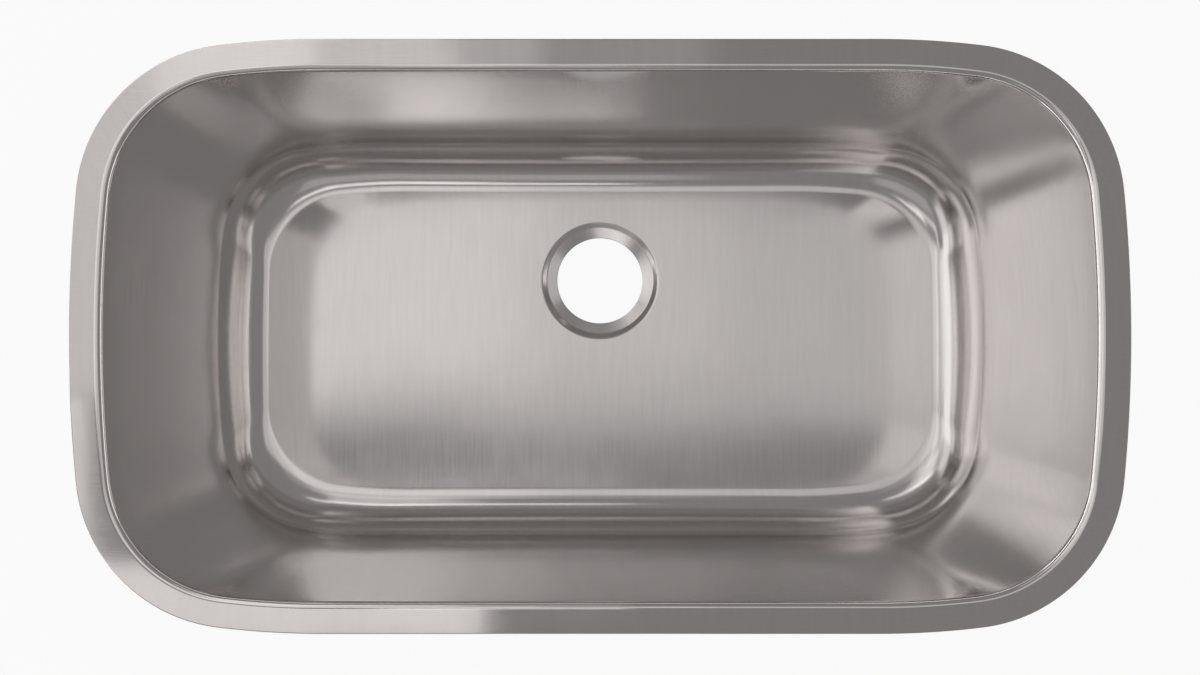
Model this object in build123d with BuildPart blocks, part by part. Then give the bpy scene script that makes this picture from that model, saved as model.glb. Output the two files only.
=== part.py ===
"""Undermount kitchen sink with one large bowl, pressed from a single sheet of stainless steel.

Everything is in millimetres. The origin is the centre of the rim's top plane, which bears on the
underside of a worktop. +X runs along the sink, +Y to its rear, where the drain is, and +Z up.

The bowl is a stack of outlines of one family: straight long sides, an easing arc, a corner arc and
a bowed short side. The visible face, the back of the sheet, the coating and the pads are the same
stack at different distances outside it, so what lies on the sheet always seats on it.
"""

import os
from math import acos, atan2, cos, degrees, radians, sin, tan

from build123d import *

# The sheet and what is laid on its outside
sheet = 1.2
coating_thickness = 0.9
pad_thickness = 3.0

# Rim: the flange that the worktop's underside bears on
rim_half_length = 400.0
rim_half_width = 224.0
rim_easing_radius = 640.0
rim_corner_radius = 122.0
rim_side_radius = 1140.0
rim_width = 23.5
opening_roll = 4.5
easing_turn = radians(7.0)

# Walls down to where the floor fillet starts. The press tool's draft draws in the long sides
wall_height = 178.0
wall_draft = radians(1.9)

# Floor panel inside the fillet. It falls from its front edge to its rear edge, where the drain is
floor_half_length = 345.0
floor_half_width = 155.0
floor_easing_radius = 600.0
floor_corner_radius = 85.0
floor_side_radius = 5000.0
floor_fall = 3.5

# Fullness of the floor fillet at the ends: 2 is an ellipse, as on the long sides, and 1 is a chamfer
end_fillet_power = 1.65

# Drain: a pressed recess with a level seat for a strainer's flange
seat_depth = 235.0
drain_offset = 62.0
drain_hole_radius = 45.0
drain_seat_radius = 56.0
drain_mouth_radius = 61.0
drain_recess_depth = 6.0
drain_bend = 3.0

# Coating: masked below the rim and round the drain
coating_top = 14.0
coating_drain_margin = 12.0

# Glued rubber pads
pad_corner = 12.0
floor_pad_length = 200.0
floor_pad_width = 230.0
floor_pad_inset = 28.0
front_pad_length = 190.0
front_pad_width = 95.0
long_wall_pad_length = 230.0
long_wall_pad_spacing = 290.0
end_wall_pad_length = 180.0
wall_pad_height = 110.0
wall_pad_top = 45.0

# Straight steps that stand for a quarter turn of the floor fillet and of the roll at the opening
fillet_steps = 5
roll_steps = 3

# Depths of the floor's plane, worked out from the level seat
floor_slope = atan2(floor_fall, 2 * floor_half_width)
drain_depth = seat_depth - drain_recess_depth
middle_depth = drain_depth - drain_offset * tan(floor_slope)
front_depth = middle_depth - floor_fall / 2


def outline(half_length, half_width, easing_radius, corner_radius, side_radius):
    """Draws one closed outline: a quarter of it, mirrored to the left and to the front.

    The tangent turns by easing_turn along the easing arc, then along the corner arc until it can
    join the bowed short side, whose centre is on the X axis.
    """
    side_start = acos(
        (half_width - easing_radius * (1 - cos(easing_turn)) - corner_radius * cos(easing_turn))
        / (side_radius - corner_radius)
    )
    straight_end = (
        half_length
        - easing_radius * sin(easing_turn)
        - corner_radius * (sin(side_start) - sin(easing_turn))
        - side_radius * (1 - sin(side_start))
    )
    corner_centre = (
        straight_end + (easing_radius - corner_radius) * sin(easing_turn),
        half_width - easing_radius + (easing_radius - corner_radius) * cos(easing_turn),
    )
    side_centre = (half_length - side_radius, 0)
    with BuildLine() as edge:
        Line((0, half_width), (straight_end, half_width))
        CenterArc((straight_end, half_width - easing_radius), easing_radius, 90, -degrees(easing_turn))
        CenterArc(corner_centre, corner_radius, 90 - degrees(easing_turn), degrees(easing_turn - side_start))
        CenterArc(side_centre, side_radius, 90 - degrees(side_start), degrees(side_start) - 90)
        mirror(about=Plane.YZ)
        mirror(about=Plane.XZ)
    make_face(edge.edges())


def wall_outline(inset):
    """The outline that lies `inset` inside the rim's edge, parallel to it."""
    outline(
        rim_half_length - inset,
        rim_half_width - inset,
        rim_easing_radius - inset,
        rim_corner_radius - inset,
        rim_side_radius - inset,
    )


def fillet_outline(turn, out):
    """The outline where the floor fillet has turned by `turn` from the wall towards the floor panel."""
    inset = rim_width - out
    drawn_in = inset + (wall_height - opening_roll) * tan(wall_draft)
    reach = cos(turn)
    end_reach = (1 - sin(turn) ** end_fillet_power) ** (1 / end_fillet_power)
    outline(
        floor_half_length + (rim_half_length - inset - floor_half_length) * end_reach,
        floor_half_width + (rim_half_width - drawn_in - floor_half_width) * reach,
        floor_easing_radius + (rim_easing_radius - inset - floor_easing_radius) * reach,
        floor_corner_radius + (rim_corner_radius - inset - floor_corner_radius) * reach,
        floor_side_radius + (rim_side_radius - inset - floor_side_radius) * reach,
    )


def fillet_plane(turn, out):
    """The plane of that outline: level at the wall's foot and at the floor's own slope on the floor."""
    depth = wall_height + (middle_depth - wall_height + out) * sin(turn)
    slope = floor_slope * sin(turn)
    return Plane((0, 0, -depth), x_dir=(1, 0, 0), z_dir=(0, sin(slope), cos(slope)))


def roll_volume(out):
    """The space inside the roll at the opening, with the roll's face moved `out` outwards."""
    bend = opening_roll - out
    with BuildPart() as volume:
        for step in range(roll_steps + 1):
            turn = radians(90) * step / roll_steps
            with BuildSketch(Plane.XY.offset(bend * cos(turn) - opening_roll)):
                wall_outline(rim_width - opening_roll + bend * sin(turn))
        loft(ruled=True)
    return volume.part


def bowl_volume(out):
    """The space inside the bowl, with its walls, floor and drain recess moved `out` outwards."""
    with BuildPart() as volume:
        for depth in (0, opening_roll):
            with BuildSketch(Plane.XY.offset(-depth)):
                wall_outline(rim_width - out)
        for step in range(fillet_steps + 1):
            turn = radians(90) * step / fillet_steps
            with BuildSketch(fillet_plane(turn, out)):
                fillet_outline(turn, out)
        loft(ruled=True)
        # The recess is a cone that runs on past the sloping floor; its radii grow where offset faces meet
        flare = atan2(drain_mouth_radius - drain_seat_radius, drain_recess_depth)
        grown = out * (1 - sin(flare)) / cos(flare)
        with Locations((0, drain_offset, -seat_depth - out)):
            Cone(
                drain_seat_radius + grown,
                drain_mouth_radius + grown + floor_fall * tan(flare),
                drain_recess_depth + floor_fall,
                align=(Align.CENTER, Align.CENTER, Align.MIN),
            )
    return volume.part


os.makedirs("parts", exist_ok=True)

air = bowl_volume(0)
steel_back = bowl_volume(sheet)
coating_back = bowl_volume(sheet + coating_thickness)
pad_back = bowl_volume(sheet + coating_thickness + pad_thickness)

# Bowl: the sheet between its visible face and its back, with the rim flange round the opening
with BuildPart() as bowl:
    with BuildSketch():
        wall_outline(0)
    extrude(amount=-sheet)
    add([steel_back, roll_volume(sheet)])
    add([air, roll_volume(0)], mode=Mode.SUBTRACT)
    with Locations((0, drain_offset, -seat_depth)):
        Hole(drain_hole_radius)
    # Visible bends of the drain recess, at its seat and at its mouth
    for end, bend in ((0, drain_bend), (-1, drain_bend + sheet)):
        recess_wall = bowl.faces().filter_by(GeomType.CONE).sort_by(Axis.Z)[1]
        fillet(recess_wall.edges().filter_by(GeomType.LINE, reverse=True).sort_by(Axis.Z)[end], radius=bend)
bowl.part.label = "bowl"
export_step(bowl.part, "parts/bowl.step")

# Sound coating: sprayed on the back of the walls and floor, masked below the rim and round the drain
with BuildPart() as sound_coating:
    add(coating_back)
    add(steel_back, mode=Mode.SUBTRACT)
    split(bisect_by=Plane.XY.offset(-coating_top), keep=Keep.BOTTOM)
    with Locations((0, drain_offset, -drain_depth)):
        Cylinder(drain_mouth_radius + coating_drain_margin, 2 * (seat_depth - wall_height), mode=Mode.SUBTRACT)
sound_coating.part.label = "sound_coating"
export_step(sound_coating.part, "parts/sound_coating.step")

# The layer that every pad is cut from, one pad thickness outside the coating
with BuildPart() as pad_layer:
    add(pad_back)
    add(coating_back, mode=Mode.SUBTRACT)

# Pads under the floor: one each side of the drain and one in front of it
floor_pad_x = floor_half_length - floor_pad_inset - floor_pad_length / 2
front_pad_y = floor_pad_inset + front_pad_width / 2 - floor_half_width
under_bowl = Plane.XY.offset(-seat_depth - pad_thickness)
to_floor = 2 * pad_thickness + seat_depth - front_depth
pads = {
    "pad_floor_left": (under_bowl, (-floor_pad_x, 0), floor_pad_length, floor_pad_width, to_floor),
    "pad_floor_right": (under_bowl, (floor_pad_x, 0), floor_pad_length, floor_pad_width, to_floor),
    "pad_floor_front": (under_bowl, (0, front_pad_y), front_pad_length, front_pad_width, to_floor),
}

# Pads on the walls: two on each long wall and one on each end wall
wall_pad_z = -wall_pad_top - wall_pad_height / 2
for side, sign in (("left", -1), ("right", 1)):
    along = (sign * long_wall_pad_spacing / 2, wall_pad_z)
    pads[f"pad_rear_{side}"] = (Plane.XZ, along, long_wall_pad_length, wall_pad_height, -rim_half_width)
    pads[f"pad_front_{side}"] = (Plane.XZ, along, long_wall_pad_length, wall_pad_height, rim_half_width)
    to_end = sign * rim_half_length
    pads[f"pad_end_{side}"] = (Plane.YZ, (0, wall_pad_z), end_wall_pad_length, wall_pad_height, to_end)

for name, (plane, centre, length, width, reach) in pads.items():
    with BuildPart() as pad:
        with BuildSketch(plane):
            with Locations(centre):
                RectangleRounded(length, width, pad_corner)
        extrude(amount=reach)
        add(pad_layer.part, mode=Mode.INTERSECT)
    pad.part.label = name
    export_step(pad.part, f"parts/{name}.step")
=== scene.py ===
# %% [markdown]
# # A pressed steel kitchen sink
#
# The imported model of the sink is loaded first, as a fixed frame that is never moved or resized.
# Around it this lesson builds the surfaces that are seen: the pressed bowl, the sprayed coating on
# its back and the glued rubber pads. Each is a surface worked out with numpy from the sink's own
# sizes, because a satin steel surface shows every facet in its reflections, and a formula has none.

import bpy
import numpy as np
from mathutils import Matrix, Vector


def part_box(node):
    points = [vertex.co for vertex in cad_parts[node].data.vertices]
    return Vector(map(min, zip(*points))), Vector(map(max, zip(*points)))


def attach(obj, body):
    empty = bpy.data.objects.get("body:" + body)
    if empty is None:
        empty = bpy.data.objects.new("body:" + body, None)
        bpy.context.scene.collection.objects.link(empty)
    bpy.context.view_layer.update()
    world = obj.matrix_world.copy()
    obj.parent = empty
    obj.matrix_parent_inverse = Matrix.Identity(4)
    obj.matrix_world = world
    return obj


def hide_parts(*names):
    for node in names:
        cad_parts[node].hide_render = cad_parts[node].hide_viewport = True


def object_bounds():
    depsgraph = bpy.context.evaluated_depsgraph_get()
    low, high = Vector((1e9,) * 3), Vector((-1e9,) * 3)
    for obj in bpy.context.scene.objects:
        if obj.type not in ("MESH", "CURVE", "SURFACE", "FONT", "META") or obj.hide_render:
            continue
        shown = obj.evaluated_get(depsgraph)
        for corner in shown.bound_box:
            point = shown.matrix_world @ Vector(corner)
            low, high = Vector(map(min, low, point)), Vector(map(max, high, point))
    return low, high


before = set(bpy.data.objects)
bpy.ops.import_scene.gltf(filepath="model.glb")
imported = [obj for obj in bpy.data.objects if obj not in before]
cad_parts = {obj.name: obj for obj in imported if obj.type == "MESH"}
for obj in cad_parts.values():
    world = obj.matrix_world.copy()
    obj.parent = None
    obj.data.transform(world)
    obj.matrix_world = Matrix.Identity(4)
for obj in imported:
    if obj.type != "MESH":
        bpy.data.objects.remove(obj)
cad_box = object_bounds()
print("nodes in the frame:", ", ".join(sorted(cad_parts)))

# %% [markdown]
# ## Sizes
#
# The outer sizes come from the frame, so the picture can't disagree with the model. The rest are
# the sizes that a press tool would be made to: the rim's flange, the roll into the opening, the
# depth of the straight walls, and the smaller outline of the floor panel inside its fillet.
# An outline has five sizes: half length, half width, and the radii of its easing arc, its corner
# arc and its bowed short side.

# %% Name the sizes, in metres
low, high = cad_box
sheet = 0.0012
coating_thickness = 0.0009
rim_outline = np.array([high.x, high.y, 0.640, 0.122, 1.140])
floor_outline = np.array([0.345, 0.155, 0.600, 0.085, 5.000])
easing_turn = np.radians(7.0)
rim_width = 0.0235
opening_roll = 0.0045
wall_height = 0.178
long_wall_draft = np.radians(1.9)
end_fillet_power = 1.65
floor_fall = 0.0035
floor_dish = 0.005
drain_offset = 0.062
drain_hole_radius = 0.045
drain_seat_radius = 0.056
drain_mouth_radius = 0.061
drain_recess_depth = 0.006
drain_seat_fall = 0.0025
drain_bend = 0.003
edge_round = 0.0003

seat_depth = -low.z - sheet
drain_depth = seat_depth - drain_recess_depth
floor_slope = floor_fall / (2 * floor_outline[1])
middle_depth = drain_depth - drain_offset * floor_slope
print(f"rim {2 * high.x:.3f} by {2 * high.y:.3f} m, seat {seat_depth:.4f} m below it")

# %% [markdown]
# ## Outlines
#
# Seen from above, the sink is a stack of closed outlines of one family. A designer draws a quarter:
# a straight side, an easing arc, a corner arc and the bowed short side, each tangent to the next,
# and mirrors it twice. The same is done here for a whole stack of outlines at once.

# %% Work out a stack of outlines
straight_points = 20
easing_points = 10
corner_points = 34
side_points = 18


def arc_joins(half_length, half_width, easing, corner, side):
    """The turn at which the corner arc ends, that arc's centre, and where the straight side ends.

    The corner arc ends where it meets the bowed side. The cosine of that turn is the height of the
    arc's centre above the middle line, where the bow's centre lies, over the difference of radii.
    """
    corner_y = half_width - easing + (easing - corner) * np.cos(easing_turn)
    met = np.arccos(corner_y / (side - corner))
    corner_x = half_length - side + (side - corner) * np.sin(met)
    straight_end = corner_x - (easing - corner) * np.sin(easing_turn)
    return met, corner_x, corner_y, straight_end


def outlines(sizes):
    """Closed outlines, one for each row of five sizes, as an array of (row, point, xy).

    Along an arc, a point is the arc's centre plus its radius times the sine and the cosine of the
    angle that the tangent has turned.
    """
    half_length, half_width, easing, corner, side = sizes.T[:, :, None]
    met, corner_x, corner_y, straight_end = arc_joins(half_length, half_width, easing, corner, side)

    share = np.arange(straight_points) / straight_points
    straight = np.stack(np.broadcast_arrays(straight_end * share, half_width), -1)
    turn = easing_turn * np.arange(easing_points) / easing_points
    easing_y = half_width - easing
    eased = np.stack((straight_end + easing * np.sin(turn), easing_y + easing * np.cos(turn)), -1)
    turn = easing_turn + (met - easing_turn) * np.arange(corner_points) / corner_points
    cornered = np.stack((corner_x + corner * np.sin(turn), corner_y + corner * np.cos(turn)), -1)
    turn = met + (np.pi / 2 - met) * np.linspace(0, 1, side_points + 1)
    bowed = np.stack((half_length - side + side * np.sin(turn), side * np.cos(turn)), -1)

    quarter = np.concatenate((straight, eased, cornered, bowed), 1)
    back = quarter[:, ::-1]
    turns = ((quarter, (1, 1)), (back, (1, -1)), (quarter, (-1, -1)), (back, (-1, 1)))
    return np.concatenate([part[:, :-1] * sign for part, sign in turns], 1)


columns = outlines(rim_outline[None]).shape[1]
print("points in an outline:", columns)

# %% [markdown]
# ## Faces of the bowl
#
# The visible face and the back of the sheet are the same surface at two distances, and so are the
# two faces of the coating. One function therefore gives the surface moved outwards by any amount:
# from the flange through the roll and the wall to the floor fillet, as rings of points.
# A press tool needs draft to let go of the steel, so the long walls lean in a little on the way
# down. Below them the floor fillet takes the outline in to the floor panel's. On the long sides it
# is an ellipse in section. At the ends its power is lower, which makes it flatter in the middle.

# %% Rings of a face, from the flange to the edge of the floor panel
roll_steps = 12
wall_steps = 10
fillet_steps = 44


def lift(x, y):
    """Height of the floor above its level at the middle: a fall to the rear, a rise to both ends."""
    return floor_dish * (x / floor_outline[0]) ** 2 - floor_slope * y


def rings(sizes, depth, share):
    """Outlines at a depth below the rim, each shaped to the floor's fall by its own share."""
    flat = outlines(sizes)
    x, y = flat[..., 0], flat[..., 1]
    return np.stack((x, y, share[:, None] * lift(x, y) - depth[:, None]), -1)


def parallel(inset, depth):
    """Level rings that lie inside the rim's outline, parallel to it."""
    sizes = rim_outline - inset[:, None]
    return rings(sizes, depth, np.zeros(len(inset)))


def roll_rings(out):
    """The bend from the flange into the wall: a quarter circle about an axis under the flange."""
    turn = np.linspace(0, np.pi / 2, roll_steps + 1)
    bend = opening_roll - out
    return parallel(rim_width - opening_roll + bend * np.sin(turn), opening_roll - bend * np.cos(turn))


def wall_sizes(out, depth):
    """The rim's outline moved in by the flange.

    The long sides move in further, by the tangent of the draft times the depth.
    """
    drawn_in = np.outer(depth - opening_roll, (0, np.tan(long_wall_draft), 0, 0, 0))
    return rim_outline - (rim_width - out) - drawn_in


def wall_rings(out, top, steps):
    """The wall from a depth down to where the floor fillet starts."""
    depth = np.linspace(top, wall_height, steps + 1)
    return rings(wall_sizes(out, depth), depth, np.zeros(len(depth)))


def fillet_rings(out):
    """The floor fillet: depth and slope follow the sine of the turn.

    Sizes follow a reach that falls from one to none: the p-th root of one less the sine to the p,
    which is the cosine where p is 2. The ends have their own power.
    """
    turn = np.linspace(0, np.pi / 2, fillet_steps + 1)
    sine = np.sin(turn)
    reach = np.outer(np.cos(turn), np.ones(5))
    reach[:, 0] = np.clip(1 - sine ** end_fillet_power, 0, 1) ** (1 / end_fillet_power)
    wall = wall_sizes(out, np.array([wall_height]))
    depth = wall_height + (middle_depth - wall_height + out) * sine
    return rings(floor_outline + (wall - floor_outline) * reach, depth, sine)


depths = -fillet_rings(0.0)[..., 2]
print(f"the floor fillet goes from {depths.min():.4f} to {depths.max():.4f} m below the rim")

# %% [markdown]
# ## The drain recess
#
# The floor panel ends at a pressed recess, whose seat carries the strainer. The seat falls a little
# to the hole, so that no water stands on it. The rings of the recess are circles round the drain.
# Each point of a circle lies on the ray from the drain's centre to a point of the panel's edge, so
# the floor between them is filled with straight rows, and no face is twisted.

# %% Rings of the recess and of the floor panel
bend_steps = 6


def corner_arc(before, corner, after, radius):
    """Points of the arc of a radius that rounds a corner between two straight lines.

    Its centre is on the line that halves the corner, the radius over the sine of the half angle away.
    """
    before, corner, after = (np.array(point, float) for point in (before, corner, after))
    first = (before - corner) / np.linalg.norm(before - corner)
    second = (after - corner) / np.linalg.norm(after - corner)
    half = np.arccos(first @ second) / 2
    middle = (first + second) / np.linalg.norm(first + second)
    centre = corner + middle * radius / np.sin(half)
    start = corner + first * radius / np.tan(half) - centre
    end = corner + second * radius / np.tan(half) - centre
    turn = np.linspace(0, 1, bend_steps + 1)[:, None]
    sweep = np.pi - 2 * half
    arc = (np.sin((1 - turn) * sweep) * start + np.sin(turn * sweep) * end) / np.sin(sweep)
    return centre + arc


def recess_profile(out):
    """Radius and depth below the floor at the drain, from the mouth's bend to the seat's bend.

    The recess's wall is a cone. Moved out by a distance, its radii grow by that distance times one
    less the sine of its flare, over the flare's cosine.
    """
    flare = np.arctan2(drain_mouth_radius - drain_seat_radius, drain_recess_depth)
    grown = out * (1 - np.sin(flare)) / np.cos(flare)
    mouth = (drain_mouth_radius + grown, out)
    seat = (drain_seat_radius + grown, out + drain_recess_depth - drain_seat_fall)
    panel = (2 * mouth[0], out)
    hole = (drain_hole_radius, out + drain_recess_depth)
    at_mouth = corner_arc(panel, mouth, seat, drain_bend + sheet - out)
    at_seat = corner_arc(mouth, seat, hole, drain_bend + out)
    return np.concatenate((at_mouth, at_seat))


def drain_rings(panel_edge, radius, depth, tip):
    """Circles round the drain: a point's angle is that of the panel edge's point seen from the drain.

    `tip` is the share of the floor's slope that a circle has: one at the mouth, none at the seat.
    """
    angle = np.arctan2(panel_edge[:, 1] - drain_offset, panel_edge[:, 0])
    x = radius[:, None] * np.cos(angle)
    y = radius[:, None] * np.sin(angle)
    return np.stack((x, y + drain_offset, tip[:, None] * lift(x, y) - drain_depth - depth[:, None]), -1)


def between(first, last, shares):
    """Rings that lie between two rings, at shares of the way from the first to the last."""
    shares = np.asarray(shares)[:, None, None]
    return first + (last - first) * shares


def recess_rings(out, panel_edge):
    """The recess from its mouth to the end of its seat's bend."""
    radius, depth = recess_profile(out).T
    tip = np.clip((radius - radius.min()) / (radius.max() - radius.min()), 0, 1)
    return drain_rings(panel_edge, radius, depth, tip)


print("points across the recess:", len(recess_profile(0.0)))

# %% [markdown]
# ## From rings to a mesh
#
# Rings stacked in order make a grid of four-sided faces that closes round the sink. The bowl and
# the coating go round the drain, so their grid closes again from the last ring to the first, with
# no pole and no open edge. A pad has no hole, so its first and last ring are capped instead.
# Blender takes such a grid fastest as flat arrays. The shell's volume, added up from its faces, is
# positive when they point outwards.

# %% Make a closed shell from rings
def volume(vertices, faces, caps):
    """A sixth of the sum, over the triangles of every face, of the box product of their corners."""
    fans = [np.stack(np.broadcast_arrays(cap[0], cap[1:-1], cap[2:]), -1) for cap in caps]
    triangles = np.concatenate((faces[:, (0, 1, 2)], faces[:, (0, 2, 3)], *fans))
    a, b, c = (vertices[triangles[:, corner]] for corner in range(3))
    return np.einsum("ij,ij->", a, np.cross(b, c)) / 6


def shell(name, ring_stack, material, sheet_map=None, capped=False):
    """A closed mesh from rings: face (i, j) joins points j and j + 1 of rings i and i + 1.

    The last ring is joined to the first, or, where the shell is capped, each of the two is a face.
    `sheet_map` gives each point its place on the flat sheet, in metres, and becomes a UV map.
    """
    rows, points = ring_stack.shape[:2]
    index = np.arange(rows * points).reshape(rows, points)
    below = np.roll(index, -1, 0)
    faces = np.stack((index, np.roll(index, -1, 1), np.roll(below, -1, 1), below), -1)
    caps = []
    if capped:
        faces = faces[:-1]
        caps = [index[0, ::-1], index[-1]]
    faces = faces.reshape(-1, 4)
    vertices = ring_stack.reshape(-1, 3)
    if volume(vertices, faces, caps) < 0:
        faces = faces[:, ::-1]
        caps = [cap[::-1] for cap in caps]
    corners = np.concatenate((faces.ravel(), *caps))
    cap_starts = faces.size + points * np.arange(len(caps))
    starts = np.concatenate((np.arange(0, faces.size, 4), cap_starts))
    mesh = bpy.data.meshes.new(name)
    mesh.vertices.add(len(vertices))
    mesh.vertices.foreach_set("co", vertices.astype(np.float32).ravel())
    mesh.loops.add(len(corners))
    mesh.loops.foreach_set("vertex_index", corners.astype(np.int32))
    mesh.polygons.add(len(starts))
    mesh.polygons.foreach_set("loop_start", starts.astype(np.int32))
    mesh.polygons.foreach_set("use_smooth", np.ones(len(starts), bool))
    if sheet_map is not None:
        flat = sheet_map.reshape(-1, 2)[corners]
        mesh.uv_layers.new(name="sheet").data.foreach_set("uv", flat.astype(np.float32).ravel())
    mesh.update(calc_edges=True)
    mesh.validate()
    mesh.materials.append(material)
    piece = bpy.data.objects.new(name, mesh)
    bpy.context.scene.collection.objects.link(piece)
    print(f"{name}: {len(starts)} faces, {volume(vertices, faces, caps) * 1e6:.1f} cm3")
    return piece


# %% [markdown]
# ## Shader parts
#
# Every finish here is a pattern with fine streaks or soft patches in it. Each of the two is made
# once, as a shader node group with named sockets, and the materials use it with their own values.
# A group reads coordinates and gives a mask, and what is coloured or roughened is the material's.

# %% Groups that any material here can use
def new_group(name, inputs, outputs):
    """A shader node group with named sockets, and its input and output nodes."""
    group = bpy.data.node_groups.new(name, "ShaderNodeTree")
    for direction, sockets in (("INPUT", inputs), ("OUTPUT", outputs)):
        for socket_name, kind, value in sockets:
            socket = group.interface.new_socket(socket_name, in_out=direction, socket_type=kind)
            if value is not None:
                socket.default_value = value
    return group, group.nodes.new("NodeGroupInput"), group.nodes.new("NodeGroupOutput")


def math_node(nodes, operation, *values):
    """A Math node with constant inputs, where None leaves an input to be linked."""
    node = nodes.new("ShaderNodeMath")
    node.operation = operation
    for socket, value in zip(node.inputs, values):
        if value is not None:
            socket.default_value = value
    return node


def make_grain_group():
    """Streaks: noise on coordinates that are squeezed along the grain, centred on zero."""
    group, inward, outward = new_group(
        "belt grain",
        [("Vector", "NodeSocketVector", None), ("Squeeze", "NodeSocketVector", (1.0, 0.03, 1.0)),
         ("Fineness", "NodeSocketFloat", 900.0)],
        [("Grain", "NodeSocketFloat", None)],
    )
    nodes, links = group.nodes, group.links
    squeezed = nodes.new("ShaderNodeVectorMath")
    squeezed.operation = "MULTIPLY"
    noise = nodes.new("ShaderNodeTexNoise")
    noise.inputs["Detail"].default_value = 3.0
    centred = math_node(nodes, "SUBTRACT", None, 0.5)
    links.new(inward.outputs["Vector"], squeezed.inputs[0])
    links.new(inward.outputs["Squeeze"], squeezed.inputs[1])
    links.new(squeezed.outputs["Vector"], noise.inputs["Vector"])
    links.new(inward.outputs["Fineness"], noise.inputs["Scale"])
    links.new(noise.outputs["Fac"], centred.inputs[0])
    links.new(centred.outputs["Value"], outward.inputs["Grain"])
    return group


def make_cloud_group():
    """Soft patches: low noise spread over a range, from none to full, for rubbed or drier places."""
    group, inward, outward = new_group(
        "cloudy patches",
        [("Vector", "NodeSocketVector", None), ("Fineness", "NodeSocketFloat", 12.0),
         ("From", "NodeSocketFloat", 0.4), ("To", "NodeSocketFloat", 0.6)],
        [("Mask", "NodeSocketFloat", None)],
    )
    nodes, links = group.nodes, group.links
    noise = nodes.new("ShaderNodeTexNoise")
    noise.inputs["Detail"].default_value = 4.0
    spread = nodes.new("ShaderNodeMapRange")
    spread.interpolation_type = "SMOOTHSTEP"
    links.new(inward.outputs["Vector"], noise.inputs["Vector"])
    links.new(inward.outputs["Fineness"], noise.inputs["Scale"])
    links.new(noise.outputs["Fac"], spread.inputs["Value"])
    links.new(inward.outputs["From"], spread.inputs["From Min"])
    links.new(inward.outputs["To"], spread.inputs["From Max"])
    links.new(spread.outputs["Result"], outward.inputs["Mask"])
    return group


grain_group = make_grain_group()
cloud_group = make_cloud_group()
for group in (grain_group, cloud_group):
    print(group.name, [item.name for item in group.interface.items_tree])


# %% Helpers for materials
def new_material(name):
    """An empty node material: itself, its nodes, its links and its Principled shader."""
    material = bpy.data.materials.new(name)
    material.use_nodes = True
    nodes = material.node_tree.nodes
    return material, nodes, material.node_tree.links, nodes["Principled BSDF"]


def place_group(nodes, links, group, vector, **values):
    """A group node that reads a vector, with its other sockets set by name."""
    node = nodes.new("ShaderNodeGroup")
    node.node_tree = group
    links.new(vector, node.inputs["Vector"])
    for name, value in values.items():
        node.inputs[name].default_value = value
    return node


def bumped(nodes, links, shader, height, distance, strength=1.0):
    """A Bump node from a height to the shader's normal. The distance is a height of one, in metres."""
    bump = nodes.new("ShaderNodeBump")
    bump.inputs["Strength"].default_value = strength
    bump.inputs["Distance"].default_value = distance
    links.new(height, bump.inputs["Height"])
    links.new(bump.outputs["Normal"], shader.inputs["Normal"])
    return bump


# %% [markdown]
# ## Satin steel
#
# The mill polishes the flat sheet with a fine belt before it is pressed, so the scratches run one
# way over the floor and follow the steel up the walls. After pressing, the flange is dressed from
# one end of the sink to the other. Most scratches are too fine to see and only blur what the steel
# reflects: that is the shader's roughness. The coarser ones are a noise pattern stretched along the
# grain, which makes the steel a little paler or darker, rougher or smoother.
# The pattern is laid out on the flat sheet: the surface is unrolled into a map, in metres, where
# the walls lie flat beside the floor, and the material reads that map. A rendered streak then bends
# with the metal, as a real one does.

# %% Satin steel material
dull_steel = (0.755, 0.738, 0.731, 1)
bright_steel = (0.855, 0.836, 0.829, 1)
steel_roughness = 0.145
flange_roughness = 0.09
patch_roughness = 0.02
streak_roughness = 0.05
tone_range = 0.8
grain_height = 0.000003


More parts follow.
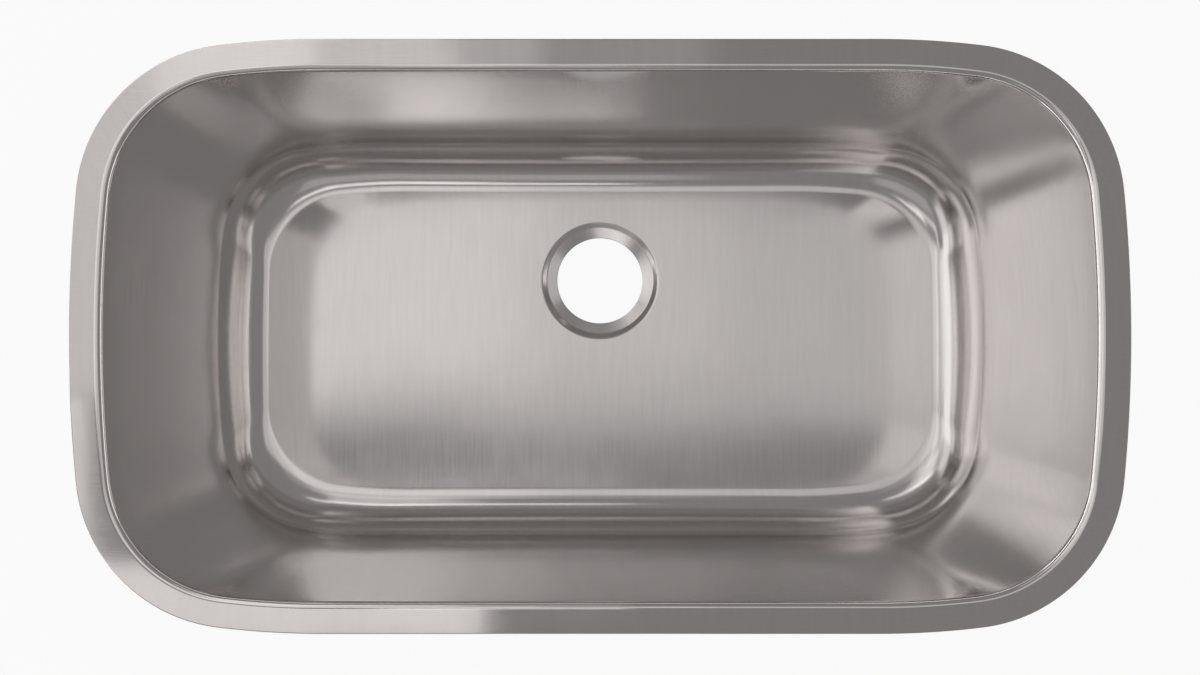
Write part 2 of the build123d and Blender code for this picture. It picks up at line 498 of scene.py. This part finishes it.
def make_steel():
    """Satin steel: belt grain on the sheet map, and on the flange a dressing grain along X."""
    material, nodes, links, shader = new_material("satin_steel")
    shader.inputs["Metallic"].default_value = 1.0
    sheet_map = nodes.new("ShaderNodeUVMap")
    sheet_map.uv_map = "sheet"
    coordinates = nodes.new("ShaderNodeTexCoord")
    belt = place_group(nodes, links, grain_group, sheet_map.outputs["UV"], Fineness=700.0)
    broad = place_group(
        nodes, links, grain_group, sheet_map.outputs["UV"], Squeeze=(1.0, 0.10, 1.0), Fineness=170.0
    )
    place = coordinates.outputs["Object"]
    dressed = place_group(nodes, links, grain_group, place, Squeeze=(0.04, 1.0, 1.0), Fineness=900.0)
    height = nodes.new("ShaderNodeSeparateXYZ")
    links.new(place, height.inputs["Vector"])
    on_flange = nodes.new("ShaderNodeMapRange")
    on_flange.inputs["From Min"].default_value = -opening_roll
    on_flange.inputs["From Max"].default_value = -opening_roll / 4
    links.new(height.outputs["Z"], on_flange.inputs["Value"])
    grain = nodes.new("ShaderNodeMix")
    grain.data_type = "FLOAT"
    links.new(on_flange.outputs["Result"], grain.inputs["Factor"])
    links.new(belt.outputs["Grain"], grain.inputs["A"])
    links.new(dressed.outputs["Grain"], grain.inputs["B"])
    tone = math_node(nodes, "ADD")
    links.new(grain.outputs["Result"], tone.inputs[0])
    links.new(broad.outputs["Grain"], tone.inputs[1])
    toned = nodes.new("ShaderNodeMapRange")
    toned.inputs["From Min"].default_value = -tone_range
    toned.inputs["From Max"].default_value = tone_range
    colour = nodes.new("ShaderNodeMix")
    colour.data_type = "RGBA"
    colour.inputs["A"].default_value = dull_steel
    colour.inputs["B"].default_value = bright_steel
    links.new(tone.outputs["Value"], toned.inputs["Value"])
    links.new(toned.outputs["Result"], colour.inputs["Factor"])
    links.new(colour.outputs["Result"], shader.inputs["Base Color"])
    patches = place_group(nodes, links, cloud_group, place, Fineness=14.0)
    rubbed = math_node(nodes, "MULTIPLY_ADD", None, patch_roughness, steel_roughness)
    polished = math_node(nodes, "MULTIPLY_ADD", None, flange_roughness - steel_roughness)
    streaked = math_node(nodes, "MULTIPLY_ADD", None, streak_roughness)
    links.new(patches.outputs["Mask"], rubbed.inputs[0])
    links.new(grain.outputs["Result"], streaked.inputs[0])
    links.new(on_flange.outputs["Result"], polished.inputs[0])
    links.new(rubbed.outputs["Value"], polished.inputs[2])
    links.new(polished.outputs["Value"], streaked.inputs[2])
    links.new(streaked.outputs["Value"], shader.inputs["Roughness"])
    bumped(nodes, links, shader, grain.outputs["Result"], grain_height)
    return material


steel = make_steel()
print(steel.name, "has", len(steel.node_tree.nodes), "nodes")

# %% [markdown]
# ## The bowl
#
# The bowl's shell goes down the visible face, round the edge of the drain hole, up the back of the
# sheet and round the rim's edge. The two cut edges get a very small round, as a deburred edge has,
# so that they catch a line of light.

# %% Rings of the bowl's faces and cut edges
flange_steps = 8
floor_steps = 30
seat_steps = 4
cut_turns = np.radians([30, 60, 90])


def edge_shares(steps, support):
    """Even shares between two rings, with one more close to each end to hold the shading there."""
    return np.concatenate(([support], np.linspace(0, 1, steps + 1)[1:-1], [1 - support]))


def bowl_face(out):
    """One face of the sheet: the rings outside the floor panel, and those from there to the hole."""
    flange = parallel(np.array([edge_round]), np.array([out]))
    roll = roll_rings(out)
    wall = wall_rings(out, opening_roll, wall_steps)
    fillet = fillet_rings(out)
    flat_flange = between(flange[0], roll[0], edge_shares(flange_steps, 0.03))
    outside = np.concatenate((flange, flat_flange, roll, wall[1:], fillet[1:]))

    panel_edge = fillet[-1]
    recess = recess_rings(out, panel_edge)
    radius = np.array([drain_hole_radius + edge_round])
    seat_edge = drain_rings(panel_edge, radius, np.array([out + drain_recess_depth]), np.zeros(1))
    panel = between(panel_edge, recess[0], edge_shares(floor_steps, 0.004))
    seat = between(recess[-1], seat_edge[0], edge_shares(seat_steps, 0.06))
    return outside, np.concatenate((panel, recess, seat, seat_edge))


def hole_edge(panel_edge):
    """The rounded cut edge of the drain hole, from the visible face to the back."""
    inward = edge_round * np.sin(cut_turns)
    down = edge_round * (1 - np.cos(cut_turns))
    radius = drain_hole_radius + edge_round - np.concatenate((inward, inward[::-1]))
    depth = drain_recess_depth + np.concatenate((down, sheet - down[::-1]))
    return drain_rings(panel_edge, radius, depth, np.zeros(len(radius)))


def rim_edge():
    """The rounded cut edge of the rim, from the back to the visible face."""
    outward = edge_round * (1 - np.sin(cut_turns))
    down = edge_round * (1 - np.cos(cut_turns))
    inset = np.concatenate((outward, outward[::-1]))
    return parallel(inset, np.concatenate((sheet - down, down[::-1])))


visible = bowl_face(0.0)
back = bowl_face(sheet)
hole_rings = hole_edge(visible[0][-1])
rim_rings = rim_edge()
print("rings outside the floor panel and inside it:", len(visible[0]), len(visible[1]))

# %% [markdown]
# ## The flat sheet
#
# The grain needs to know where each point lay before the sheet was pressed. A real blank stretches
# as it is drawn, but laying the walls flat beside the floor is close enough for scratches. The way
# up a wall is added up from ring to ring, so no formula for its curve is needed.

# %% Lay the bowl's surface flat
def sheet_places(outside, inside):
    """Where each point of a face lay on the flat sheet, in metres.

    On the floor that is x and y. Outside the panel it is the point of the panel's first ring plus
    its outward normal times the way up along the surface, the sum of the gaps between the rings.
    """
    edge = inside[0, :, :2]
    along = np.roll(edge, -1, 0) - np.roll(edge, 1, 0)
    outward = np.stack((-along[:, 1], along[:, 0]), -1) / np.linalg.norm(along, axis=1)[:, None]
    outward = outward * np.sign(np.sum(outward * edge, 1))[:, None]
    way_up = np.concatenate((outside, inside[:1]))
    gaps = np.linalg.norm(np.diff(way_up, axis=0), axis=2)
    way = np.concatenate((np.cumsum(gaps[::-1], 0)[::-1], np.zeros((1, columns))))
    unrolled = edge[None] + outward[None] * way[..., None]
    return np.concatenate((unrolled, inside[1:, :, :2]))


visible_places = sheet_places(*visible)
back_places = sheet_places(*back)
print("the flat sheet measures", np.ptp(visible_places, (0, 1)).round(3), "m")

# %% Build the bowl
bowl_stack = np.concatenate((*visible, hole_rings, np.concatenate(back)[::-1], rim_rings))
flange_places = np.repeat(visible_places[:1], len(rim_rings), 0)
bowl_places = np.concatenate((visible_places, hole_rings[..., :2], back_places[::-1], flange_places))
bowl = shell("pressed_bowl", bowl_stack, steel, bowl_places)
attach(bowl, "root")
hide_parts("bowl")

# %% [markdown]
# ## The sprayed coating
#
# Thin steel drums when water hits it, so the maker sprays a soft grey coat on the back of the walls
# and floor, masked off below the rim and round the drain. It is the same surface as the back of the
# sheet, one coat further out, so it is made by the same functions. Its masked edges are rounded,
# and the orange-peel skin of the spray is too fine for the mesh, so the material bumps it.

# %% Coating material
thick_coat = (0.075, 0.077, 0.080, 1)
dry_coat = (0.115, 0.117, 0.120, 1)
pebble_height = 0.0004


def make_coating():
    """Grey damping coat: soft pebbles in the bump, paler where the spray came out drier."""
    material, nodes, links, shader = new_material("sprayed_coating")
    shader.inputs["Roughness"].default_value = 0.72
    coordinates = nodes.new("ShaderNodeTexCoord")
    place = coordinates.outputs["Object"]
    drier = place_group(nodes, links, cloud_group, place, Fineness=9.0, From=0.35, To=0.68)
    colour = nodes.new("ShaderNodeMix")
    colour.data_type = "RGBA"
    colour.inputs["A"].default_value = thick_coat
    colour.inputs["B"].default_value = dry_coat
    links.new(drier.outputs["Mask"], colour.inputs["Factor"])
    links.new(colour.outputs["Result"], shader.inputs["Base Color"])
    pebbles = nodes.new("ShaderNodeTexNoise")
    pebbles.inputs["Scale"].default_value = 420.0
    pebbles.inputs["Detail"].default_value = 2.5
    links.new(place, pebbles.inputs["Vector"])
    bumped(nodes, links, shader, pebbles.outputs["Fac"], pebble_height, 0.5)
    return material


coating_material = make_coating()
print(coating_material.name, "has", len(coating_material.node_tree.nodes), "nodes")

# %% Build the coating
coating_top = 0.014
coating_drain_radius = drain_mouth_radius + 0.012
coating_back = sheet + coating_thickness
coating_floor_steps = 10


def coating_face(out, drawn_in):
    """One face of the coating, from its masked top edge to its masked edge round the drain."""
    wall = wall_rings(out, coating_top + drawn_in, wall_steps)
    fillet = fillet_rings(out)
    radius = np.array([coating_drain_radius + drawn_in])
    masked = drain_rings(fillet[-1], radius, np.array([out]), np.ones(1))
    floor = between(fillet[-1], masked[0], edge_shares(coating_floor_steps, 0.01))
    return np.concatenate((wall, fillet[1:], floor, masked))


half_coat = coating_thickness / 2
outer = coating_face(coating_back, half_coat)
middle = coating_face(sheet + half_coat, 0.0)
inner = coating_face(sheet, half_coat)
coating_stack = np.concatenate((outer, middle[-1:], inner[::-1], middle[:1]))
coating = shell("sprayed_coating", coating_stack, coating_material)
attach(coating, "root")
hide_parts("sound_coating")

# %% [markdown]
# ## The rubber pads
#
# Nine pads are cut from rubber sheet with a die that rounds their corners, and glued on the
# coating: two on each long wall, one on each end and three under the floor. A pad is a small
# rounded rectangle laid on the surface that it is glued to, so each wall gives a function from its
# two flat coordinates to the third, and the pad's rings are laid on it at two distances.

# %% Pad material
new_rubber = (0.018, 0.018, 0.020, 1)
rubbed_rubber = (0.045, 0.045, 0.048, 1)
rubber_roughness = 0.66
rubbed_roughness = 0.52
rubber_grain_height = 0.0002


def make_rubber():
    """Black sheet rubber: nearly matt, with a fine grain and a few paler rubbed patches."""
    material, nodes, links, shader = new_material("pad_rubber")
    coordinates = nodes.new("ShaderNodeTexCoord")
    place = coordinates.outputs["Object"]
    rubbed = place_group(nodes, links, cloud_group, place, Fineness=22.0, From=0.45, To=0.75)
    colour = nodes.new("ShaderNodeMix")
    colour.data_type = "RGBA"
    colour.inputs["A"].default_value = new_rubber
    colour.inputs["B"].default_value = rubbed_rubber
    links.new(rubbed.outputs["Mask"], colour.inputs["Factor"])
    links.new(colour.outputs["Result"], shader.inputs["Base Color"])
    worn = math_node(nodes, "MULTIPLY_ADD", None, rubbed_roughness - rubber_roughness, rubber_roughness)
    links.new(rubbed.outputs["Mask"], worn.inputs[0])
    links.new(worn.outputs["Value"], shader.inputs["Roughness"])
    grain = nodes.new("ShaderNodeTexNoise")
    grain.inputs["Scale"].default_value = 1500.0
    links.new(place, grain.inputs["Vector"])
    bumped(nodes, links, shader, grain.outputs["Fac"], rubber_grain_height, 0.25)
    return material


rubber = make_rubber()
print(rubber.name, "has", len(rubber.node_tree.nodes), "nodes")

# %% Surfaces that a pad is glued to
def on_long_wall(side):
    """A function from x, z and distance to a point on the rear (side 1) or front (side -1) wall.

    The wall is straight up to the start of its easing arc, and from there y is the arc's centre
    plus the root of its radius squared less the way past that start squared.
    """
    def place(x, z, out):
        sizes = wall_sizes(out, -z).T
        half_width, easing = sizes[1:3]
        straight_end = arc_joins(*sizes)[-1]
        past = np.clip(np.abs(x) - straight_end, 0, None)
        return np.stack((x, side * (half_width - easing + np.sqrt(easing ** 2 - past ** 2)), z), -1)
    return place


def on_end_wall(side):
    """A function from y, z and distance to a point on the right (side 1) or left (side -1) wall."""
    def place(y, z, out):
        half_length, _, _, _, bow = wall_sizes(out, -z).T
        return np.stack((side * (half_length - bow + np.sqrt(bow ** 2 - y ** 2)), y, z), -1)
    return place


def under_floor(x, y, out):
    """A point under the floor panel, from x, y and distance."""
    return np.stack((x, y, lift(x, y) - middle_depth - out), -1)


halfway_down = on_long_wall(1)(np.zeros(1), np.array([-wall_height / 2]), 0.0)[0]
print(f"halfway down, the rear wall is {halfway_down[1]:.4f} m from the middle")

# %% Build the pads
pad_thickness = 0.003
pad_corner = 0.012
pad_edge_round = 0.0006
pad_corner_points = 7
pad_gap_points = 4
pad_shares = (0.2, 0.4, 0.6, 0.8)


def rounded_rectangle(length, width, corner):
    """A closed outline of a rectangle with round corners: corner centres plus radius along the turn."""
    quarter = np.linspace(0, np.pi / 2, pad_corner_points)
    x, y = [], []
    for start, side, end in ((0, 1, 1), (90, -1, 1), (180, -1, -1), (270, 1, -1)):
        turn = quarter + np.radians(start)
        x.append(side * (length / 2 - corner) + corner * np.cos(turn))
        y.append(end * (width / 2 - corner) + corner * np.sin(turn))
    return dense(np.concatenate(x), np.concatenate(y))


def dense(x, y):
    """The same outline with more points along each gap, so that it can follow a curved wall."""
    share = np.arange(pad_gap_points)[:, None] / pad_gap_points
    filled = [(v + (np.roll(v, -1) - v) * share).T.ravel() for v in (x, y)]
    return np.stack(filled, -1)


def make_pad(name, place, centre, length, width):
    """A pad laid on a surface: rings from its middle over its rounded edge to its glued face.

    A ring is a share of the outline, at an inset and a distance. Over the edge, the inset is the
    edge's radius times one less the turn's sine, and the way in is that radius times one less its
    cosine.
    """
    edge = pad_edge_round
    glued = sheet + coating_thickness
    outer = glued + pad_thickness
    rows = [(share, edge, outer) for share in pad_shares]
    for turn in np.radians([0, 30, 60, 90]):
        rows.append((1, edge * (1 - np.sin(turn)), outer - edge * (1 - np.cos(turn))))
    rows.append((1, 0, glued))
    rows += [(share, edge, glued) for share in pad_shares[::-1]]
    stack = []
    for share, inset, out in rows:
        outline = rounded_rectangle(length - 2 * inset, width - 2 * inset, pad_corner - inset)
        flat = outline * share + centre
        stack.append(place(flat[:, 0], flat[:, 1], out))
    pad = shell(name + "_sheet", np.array(stack), rubber, capped=True)
    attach(pad, "root")
    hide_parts(name)
    return pad


def box_sizes(node, across, up):
    """Centre and size of a node's box in two of its axes, so a pad's place comes from the frame."""
    lowest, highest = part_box(node)
    return (
        ((lowest[across] + highest[across]) / 2, (lowest[up] + highest[up]) / 2),
        highest[across] - lowest[across],
        highest[up] - lowest[up],
    )


for end, side in (("left", -1), ("right", 1)):
    make_pad(f"pad_rear_{end}", on_long_wall(1), *box_sizes(f"pad_rear_{end}", 0, 2))
    make_pad(f"pad_front_{end}", on_long_wall(-1), *box_sizes(f"pad_front_{end}", 0, 2))
    make_pad(f"pad_end_{end}", on_end_wall(side), *box_sizes(f"pad_end_{end}", 1, 2))
for name in ("pad_floor_left", "pad_floor_right", "pad_floor_front"):
    make_pad(name, under_floor, *box_sizes(name, 0, 1))

# %% [markdown]
# ## The studio
#
# The picture is taken from straight above with a short lens, close to the rim, so the walls fan
# out. The lens follows from the scale at the rim: pixels per metre times the camera's height over
# the picture's width is the focal length as a share of the film's width.

# %% Camera
picture_width = 1200
picture_height = 675
rim_pixels_per_metre = 1329.0
camera_height = 0.580
camera_y = -0.00775
axis_pixel_y = 346.7
film_width = 36.0

camera_data = bpy.data.cameras.new("camera")
camera_data.sensor_width = film_width
camera_data.lens = film_width * rim_pixels_per_metre * camera_height / picture_width
camera_data.shift_y = (axis_pixel_y - picture_height / 2) / picture_width
camera = bpy.data.objects.new("camera", camera_data)
camera.location = (0, camera_y, camera_height)
bpy.context.scene.collection.objects.link(camera)
bpy.context.scene.camera = camera
print(f"lens {camera_data.lens:.2f} mm, shift {camera_data.shift_y:.4f}")

# %% [markdown]
# ## The floor
#
# The sink was photographed on white, which also shows through its drain hole. The floor is one
# plain square under the sink. What the camera sees of it is nearly all its own white, and the rest
# is shaded, so that the sink keeps a faint shadow. The steel sees less of that white, because a
# full white shining up through the hole would draw arcs on the walls.

# %% Floor
floor_half_size = 6.0
own_white = 0.93
white_in_steel = 0.2


def make_floor_material():
    """A white floor: its own white to the camera, less of it to the steel, and shaded elsewhere."""
    material, nodes, links, shader = new_material("studio_floor")
    shader.inputs["Base Color"].default_value = (0.9, 0.9, 0.9, 1)
    shader.inputs["Roughness"].default_value = 0.9
    shader.inputs["Specular IOR Level"].default_value = 0.0
    path = nodes.new("ShaderNodeLightPath")
    in_steel = math_node(nodes, "MULTIPLY", None, white_in_steel)
    seen = math_node(nodes, "MAXIMUM")
    seen_through = math_node(nodes, "MAXIMUM")
    share = math_node(nodes, "MULTIPLY", None, own_white)
    white = nodes.new("ShaderNodeEmission")
    mixed = nodes.new("ShaderNodeMixShader")
    links.new(path.outputs["Is Glossy Ray"], in_steel.inputs[0])
    links.new(path.outputs["Is Camera Ray"], seen.inputs[0])
    links.new(in_steel.outputs["Value"], seen.inputs[1])
    links.new(seen.outputs["Value"], seen_through.inputs[0])
    links.new(path.outputs["Is Transmission Ray"], seen_through.inputs[1])
    links.new(seen_through.outputs["Value"], share.inputs[0])
    links.new(share.outputs["Value"], mixed.inputs["Fac"])
    links.new(shader.outputs["BSDF"], mixed.inputs[1])
    links.new(white.outputs["Emission"], mixed.inputs[2])
    links.new(mixed.outputs["Shader"], nodes["Material Output"].inputs["Surface"])
    return material


floor_corners = np.array([(-1, -1, 0), (1, -1, 0), (1, 1, 0), (-1, 1, 0)], float) * floor_half_size
floor_corners[:, 2] = low.z
floor_mesh = bpy.data.meshes.new("floor")
floor_mesh.from_pydata(floor_corners.tolist(), [], [(0, 1, 2, 3)])
floor_mesh.materials.append(make_floor_material())
floor = bpy.data.objects.new("floor", floor_mesh)
bpy.context.scene.collection.objects.link(floor)
print("the floor lies at", round(low.z, 4), "m")

# %% [markdown]
# ## Light
#
# A satin bowl shows its studio: every pale or dark field on the steel is a softbox or a gap between
# two. The photograph's fields were followed back from the camera over the steel to the ceiling,
# which gives the softboxes' edges. They hang high above the bowl, each a little above the one
# before it, so that each field keeps its place while its edge stays soft. Panels on the left and
# right walls show in the walls and end fillets, and a low glow on the left lights the roll.

# %% Softboxes overhead
ceiling_height = 4.0
lamp_gap = 0.01
warm_white = (1.02, 0.985, 0.975)
room_half_length = 6.0
room_half_width = 4.8


def softbox(name, centre, size, radiance, facing):
    """An area light that shows a radiance in a mirror: its power is that times pi times its area."""
    data = bpy.data.lights.new(name, "AREA")
    data.shape = "RECTANGLE"
    data.size, data.size_y = size
    data.energy = radiance * np.pi * size[0] * size[1]
    data.color = warm_white
    lamp = bpy.data.objects.new(name, data)
    lamp.location = centre
    lamp.rotation_euler = (-Vector(facing)).to_track_quat("Z", "Y").to_euler()
    bpy.context.scene.collection.objects.link(lamp)
    return lamp


def ceiling_softbox(name, order, x_span, y_span, radiance):
    """A softbox overhead. Its spans are slopes: metres along for each metre up.

    Two lamps in one plane hide each other, so each hangs a little above the one before it.
    """
    height = ceiling_height + order * lamp_gap
    x, y = (height * np.array(span) for span in (x_span, y_span))
    centre = (x.mean(), y.mean(), height)
    return softbox(name, centre, (x[1] - x[0], y[1] - y[0]), radiance, (0, 0, -1))


overhead = {
    "main": ((-0.67, 0.52), (-0.12, 0.31), 0.30),
    "left_large": ((-1.50, -0.42), (-0.08, 1.20), 0.24),
    "left_fill": ((-1.50, -0.09), (-0.07, 0.55), 0.14),
    "left_far": ((-1.50, -1.05), (-0.08, 0.30), 0.28),
    "left_bar": ((-0.88, -0.76), (-0.42, -0.08), 0.62),
    "rear_fill": ((-0.38, 0.16), (-0.03, 0.55), 0.08),
    "rear_high": ((-0.98, -0.24), (0.46, 1.17), 0.34),
    "rear_far": ((-1.15, 0.05), (1.02, 1.18), 0.75),
    "rear_strip": ((-0.66, -0.21), (0.35, 0.45), 0.20),
    "front_strip_left": ((-0.86, -0.17), (-0.45, -0.32), 0.56),
    "front_strip_middle": ((-0.32, 0.04), (-0.34, -0.24), 0.90),
    "front_far": ((-1.01, 0.17), (-1.20, -0.60), 0.16),
}
for order, (name, spans) in enumerate(overhead.items()):
    ceiling_softbox(name, order, *spans)
print("softboxes overhead:", len(overhead))

# %% Softboxes on the walls
def wall_softbox(name, wall, along, width, heights, radiance, behind=0):
    """An upright softbox. `wall` points to its wall, `along` is the place of its centre on it.

    Where it overlaps another, it stands one gap behind that one.
    """
    x, y = wall
    distance = behind * lamp_gap + (room_half_length if x else room_half_width)
    centre = (x * distance + abs(y) * along, y * distance + abs(x) * along, sum(heights) / 2)
    return softbox(name, centre, (width, heights[1] - heights[0]), radiance, (-x, -y, 0))


left, right, rear, front = (-1, 0), (1, 0), (0, 1), (0, -1)
glow_heights = (low.z, 0.6)
upright = {
    "left_wall": (left, 0.0, 2 * room_half_width, (0.6, ceiling_height), 0.52),
    "left_panel": (left, 0.0, 3.2, (1.8, ceiling_height), 0.30, 1),
    "right_panel": (right, 0.0, 6.0, (0.6, 1.8), 0.85),
    "left_glow": (left, 0.0, 2 * room_half_width, glow_heights, 1.85),
    "rear_glow": (rear, -4.0, 4.0, glow_heights, 1.85),
    "front_glow": (front, -4.0, 4.0, glow_heights, 1.85),
}
for name, panel in upright.items():
    wall_softbox(name, *panel)
print("softboxes on the walls:", len(upright))

# %% [markdown]
# ## The room
#
# Steel shows whatever is round it, so the room that has no lamp in it needs a tone as well. It is
# grey, with a white band just above the horizon, as a light cove gives, that the steel alone sees.

# %% World
world_grey = 0.225
horizon_top = 0.12


def make_world():
    """White where the camera looks, and for the steel too near the horizon; grey elsewhere."""
    world = bpy.data.worlds.new("studio")
    world.use_nodes = True
    nodes, links = world.node_tree.nodes, world.node_tree.links
    background = nodes["Background"]
    direction = nodes.new("ShaderNodeTexCoord")
    up = nodes.new("ShaderNodeSeparateXYZ")
    near_horizon = nodes.new("ShaderNodeMapRange")
    near_horizon.inputs["From Min"].default_value = horizon_top
    near_horizon.inputs["From Max"].default_value = horizon_top / 2
    path = nodes.new("ShaderNodeLightPath")
    mirrored = math_node(nodes, "MULTIPLY")
    seen = math_node(nodes, "MAXIMUM")
    seen_through = math_node(nodes, "MAXIMUM")
    shade = nodes.new("ShaderNodeMix")
    shade.data_type = "FLOAT"
    shade.inputs["A"].default_value = world_grey
    shade.inputs["B"].default_value = 1.0
    links.new(direction.outputs["Generated"], up.inputs["Vector"])
    links.new(up.outputs["Z"], near_horizon.inputs["Value"])
    links.new(near_horizon.outputs["Result"], mirrored.inputs[0])
    links.new(path.outputs["Is Glossy Ray"], mirrored.inputs[1])
    links.new(mirrored.outputs["Value"], seen.inputs[0])
    links.new(path.outputs["Is Camera Ray"], seen.inputs[1])
    links.new(seen.outputs["Value"], seen_through.inputs[0])
    links.new(path.outputs["Is Transmission Ray"], seen_through.inputs[1])
    links.new(seen_through.outputs["Value"], shade.inputs["Factor"])
    links.new(shade.outputs["Result"], background.inputs["Strength"])
    background.inputs["Color"].default_value = (*warm_white, 1)
    bpy.context.scene.world = world


make_world()
bpy.context.scene.view_settings.view_transform = "Standard"
print("grey of the room:", world_grey)
